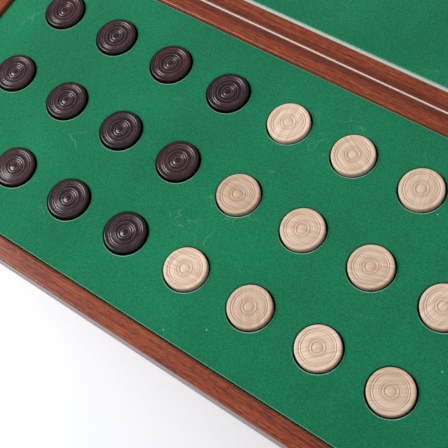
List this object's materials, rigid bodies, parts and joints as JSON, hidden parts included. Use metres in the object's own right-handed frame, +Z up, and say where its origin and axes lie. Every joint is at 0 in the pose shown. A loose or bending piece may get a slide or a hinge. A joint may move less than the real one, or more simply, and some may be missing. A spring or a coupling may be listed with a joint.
{
  "type": "folding checkers case",
  "caption": "Folding wooden checkers case lying open: a flocked insert with round pockets holds turned dark and light checkers, and the board squares are on the underside.",
  "frame": {"origin": "centre of the open case on the surface it lies on, under the seam between the halves", "axes": "+Z up, out of the hollow sides; +X along the hinged seam; +Y from the half with the checkers to the other half"},
  "size_m": [0.4, 0.406, 0.0269],
  "materials": {
    "stained_rail": "stained and lacquered hardwood, satin gloss",
    "mahogany_veneer": "lacquered veneer",
    "dark_veneer": "lacquered dark veneer",
    "light_veneer": "lacquered light veneer",
    "inlay_veneer": "lacquered pale inlay line",
    "plywood": "bare plywood",
    "batten_wood": "bare softwood",
    "green_flock": "fibreboard with a short green flock",
    "dark_backing": "hardboard with a dark green face",
    "brass": "lacquered brass",
    "dark_checker_wood": "dark stained and lacquered beech",
    "light_checker_wood": "natural lacquered beech"
  },
  "bodies": {
    "near_half": {"near_front_rail": "stained_rail", "near_left_rail": "stained_rail", "near_right_rail": "stained_rail", "near_seam_rail": "stained_rail", "near_board_panel": "plywood", "near_dark_squares": "dark_veneer", "near_light_squares": "light_veneer", "near_border_veneer": "mahogany_veneer", "near_inlay_line": "inlay_veneer", "near_battens": "batten_wood", "left_hinge_near_leaf": "brass", "right_hinge_near_leaf": "brass", "near_hinge_screws": "brass", "near_insert_panel": "green_flock", "near_insert_backing": "dark_backing", "left_hinge_pin": "brass", "right_hinge_pin": "brass", "catch_studs": "brass"},
    "far_half": {"far_back_rail": "stained_rail", "far_left_rail": "stained_rail", "far_right_rail": "stained_rail", "far_seam_rail": "stained_rail", "far_board_panel": "plywood", "far_dark_squares": "dark_veneer", "far_light_squares": "light_veneer", "far_border_veneer": "mahogany_veneer", "far_inlay_line": "inlay_veneer", "far_battens": "batten_wood", "left_hinge_far_leaf": "brass", "right_hinge_far_leaf": "brass", "far_hinge_screws": "brass", "far_cover_panel": "green_flock", "hook_pivot_screws": "brass"},
    "left_hook": {"left_hook": "brass"},
    "right_hook": {"right_hook": "brass"},
    "dark_checker_01": {"dark_checker_01": "dark_checker_wood"},
    "dark_checker_02": {"dark_checker_02": "dark_checker_wood"},
    "dark_checker_03": {"dark_checker_03": "dark_checker_wood"},
    "dark_checker_04": {"dark_checker_04": "dark_checker_wood"},
    "dark_checker_05": {"dark_checker_05": "dark_checker_wood"},
    "dark_checker_06": {"dark_checker_06": "dark_checker_wood"},
    "dark_checker_07": {"dark_checker_07": "dark_checker_wood"},
    "dark_checker_08": {"dark_checker_08": "dark_checker_wood"},
    "dark_checker_09": {"dark_checker_09": "dark_checker_wood"},
    "dark_checker_10": {"dark_checker_10": "dark_checker_wood"},
    "dark_checker_11": {"dark_checker_11": "dark_checker_wood"},
    "dark_checker_12": {"dark_checker_12": "dark_checker_wood"},
    "light_checker_01": {"light_checker_01": "light_checker_wood"},
    "light_checker_02": {"light_checker_02": "light_checker_wood"},
    "light_checker_03": {"light_checker_03": "light_checker_wood"},
    "light_checker_04": {"light_checker_04": "light_checker_wood"},
    "light_checker_05": {"light_checker_05": "light_checker_wood"},
    "light_checker_06": {"light_checker_06": "light_checker_wood"},
    "light_checker_07": {"light_checker_07": "light_checker_wood"},
    "light_checker_08": {"light_checker_08": "light_checker_wood"},
    "light_checker_09": {"light_checker_09": "light_checker_wood"},
    "light_checker_10": {"light_checker_10": "light_checker_wood"},
    "light_checker_11": {"light_checker_11": "light_checker_wood"},
    "light_checker_12": {"light_checker_12": "light_checker_wood"}
  },
  "joints": [
    {"name": "lid_fold", "type": "hinge", "parent": "near_half", "child": "far_half", "pos_m": [0, 0, 0.02515], "axis": [-1, 0, 0], "range_deg": [-180, 0]},
    {"name": "left_hook_swing", "type": "hinge", "parent": "far_half", "child": "left_hook", "pos_m": [-0.125, 0.2, 0.0125], "axis": [0, 1, 0], "range_deg": [-90, 0]},
    {"name": "right_hook_swing", "type": "hinge", "parent": "far_half", "child": "right_hook", "pos_m": [0.125, 0.2, 0.0125], "axis": [0, -1, 0], "range_deg": [-90, 0]},
    {"name": "dark_checker_01_lift", "type": "slide", "parent": "near_half", "child": "dark_checker_01", "axis": [0, 0, 1], "range_m": [0, 0.03]},
    {"name": "dark_checker_02_lift", "type": "slide", "parent": "near_half", "child": "dark_checker_02", "axis": [0, 0, 1], "range_m": [0, 0.03]},
    {"name": "dark_checker_03_lift", "type": "slide", "parent": "near_half", "child": "dark_checker_03", "axis": [0, 0, 1], "range_m": [0, 0.03]},
    {"name": "dark_checker_04_lift", "type": "slide", "parent": "near_half", "child": "dark_checker_04", "axis": [0, 0, 1], "range_m": [0, 0.03]},
    {"name": "dark_checker_05_lift", "type": "slide", "parent": "near_half", "child": "dark_checker_05", "axis": [0, 0, 1], "range_m": [0, 0.03]},
    {"name": "dark_checker_06_lift", "type": "slide", "parent": "near_half", "child": "dark_checker_06", "axis": [0, 0, 1], "range_m": [0, 0.03]},
    {"name": "dark_checker_07_lift", "type": "slide", "parent": "near_half", "child": "dark_checker_07", "axis": [0, 0, 1], "range_m": [0, 0.03]},
    {"name": "dark_checker_08_lift", "type": "slide", "parent": "near_half", "child": "dark_checker_08", "axis": [0, 0, 1], "range_m": [0, 0.03]},
    {"name": "dark_checker_09_lift", "type": "slide", "parent": "near_half", "child": "dark_checker_09", "axis": [0, 0, 1], "range_m": [0, 0.03]},
    {"name": "dark_checker_10_lift", "type": "slide", "parent": "near_half", "child": "dark_checker_10", "axis": [0, 0, 1], "range_m": [0, 0.03]},
    {"name": "dark_checker_11_lift", "type": "slide", "parent": "near_half", "child": "dark_checker_11", "axis": [0, 0, 1], "range_m": [0, 0.03]},
    {"name": "dark_checker_12_lift", "type": "slide", "parent": "near_half", "child": "dark_checker_12", "axis": [0, 0, 1], "range_m": [0, 0.03]},
    {"name": "light_checker_01_lift", "type": "slide", "parent": "near_half", "child": "light_checker_01", "axis": [0, 0, 1], "range_m": [0, 0.03]},
    {"name": "light_checker_02_lift", "type": "slide", "parent": "near_half", "child": "light_checker_02", "axis": [0, 0, 1], "range_m": [0, 0.03]},
    {"name": "light_checker_03_lift", "type": "slide", "parent": "near_half", "child": "light_checker_03", "axis": [0, 0, 1], "range_m": [0, 0.03]},
    {"name": "light_checker_04_lift", "type": "slide", "parent": "near_half", "child": "light_checker_04", "axis": [0, 0, 1], "range_m": [0, 0.03]},
    {"name": "light_checker_05_lift", "type": "slide", "parent": "near_half", "child": "light_checker_05", "axis": [0, 0, 1], "range_m": [0, 0.03]},
    {"name": "light_checker_06_lift", "type": "slide", "parent": "near_half", "child": "light_checker_06", "axis": [0, 0, 1], "range_m": [0, 0.03]},
    {"name": "light_checker_07_lift", "type": "slide", "parent": "near_half", "child": "light_checker_07", "axis": [0, 0, 1], "range_m": [0, 0.03]},
    {"name": "light_checker_08_lift", "type": "slide", "parent": "near_half", "child": "light_checker_08", "axis": [0, 0, 1], "range_m": [0, 0.03]},
    {"name": "light_checker_09_lift", "type": "slide", "parent": "near_half", "child": "light_checker_09", "axis": [0, 0, 1], "range_m": [0, 0.03]},
    {"name": "light_checker_10_lift", "type": "slide", "parent": "near_half", "child": "light_checker_10", "axis": [0, 0, 1], "range_m": [0, 0.03]},
    {"name": "light_checker_11_lift", "type": "slide", "parent": "near_half", "child": "light_checker_11", "axis": [0, 0, 1], "range_m": [0, 0.03]},
    {"name": "light_checker_12_lift", "type": "slide", "parent": "near_half", "child": "light_checker_12", "axis": [0, 0, 1], "range_m": [0, 0.03]}
  ]
}
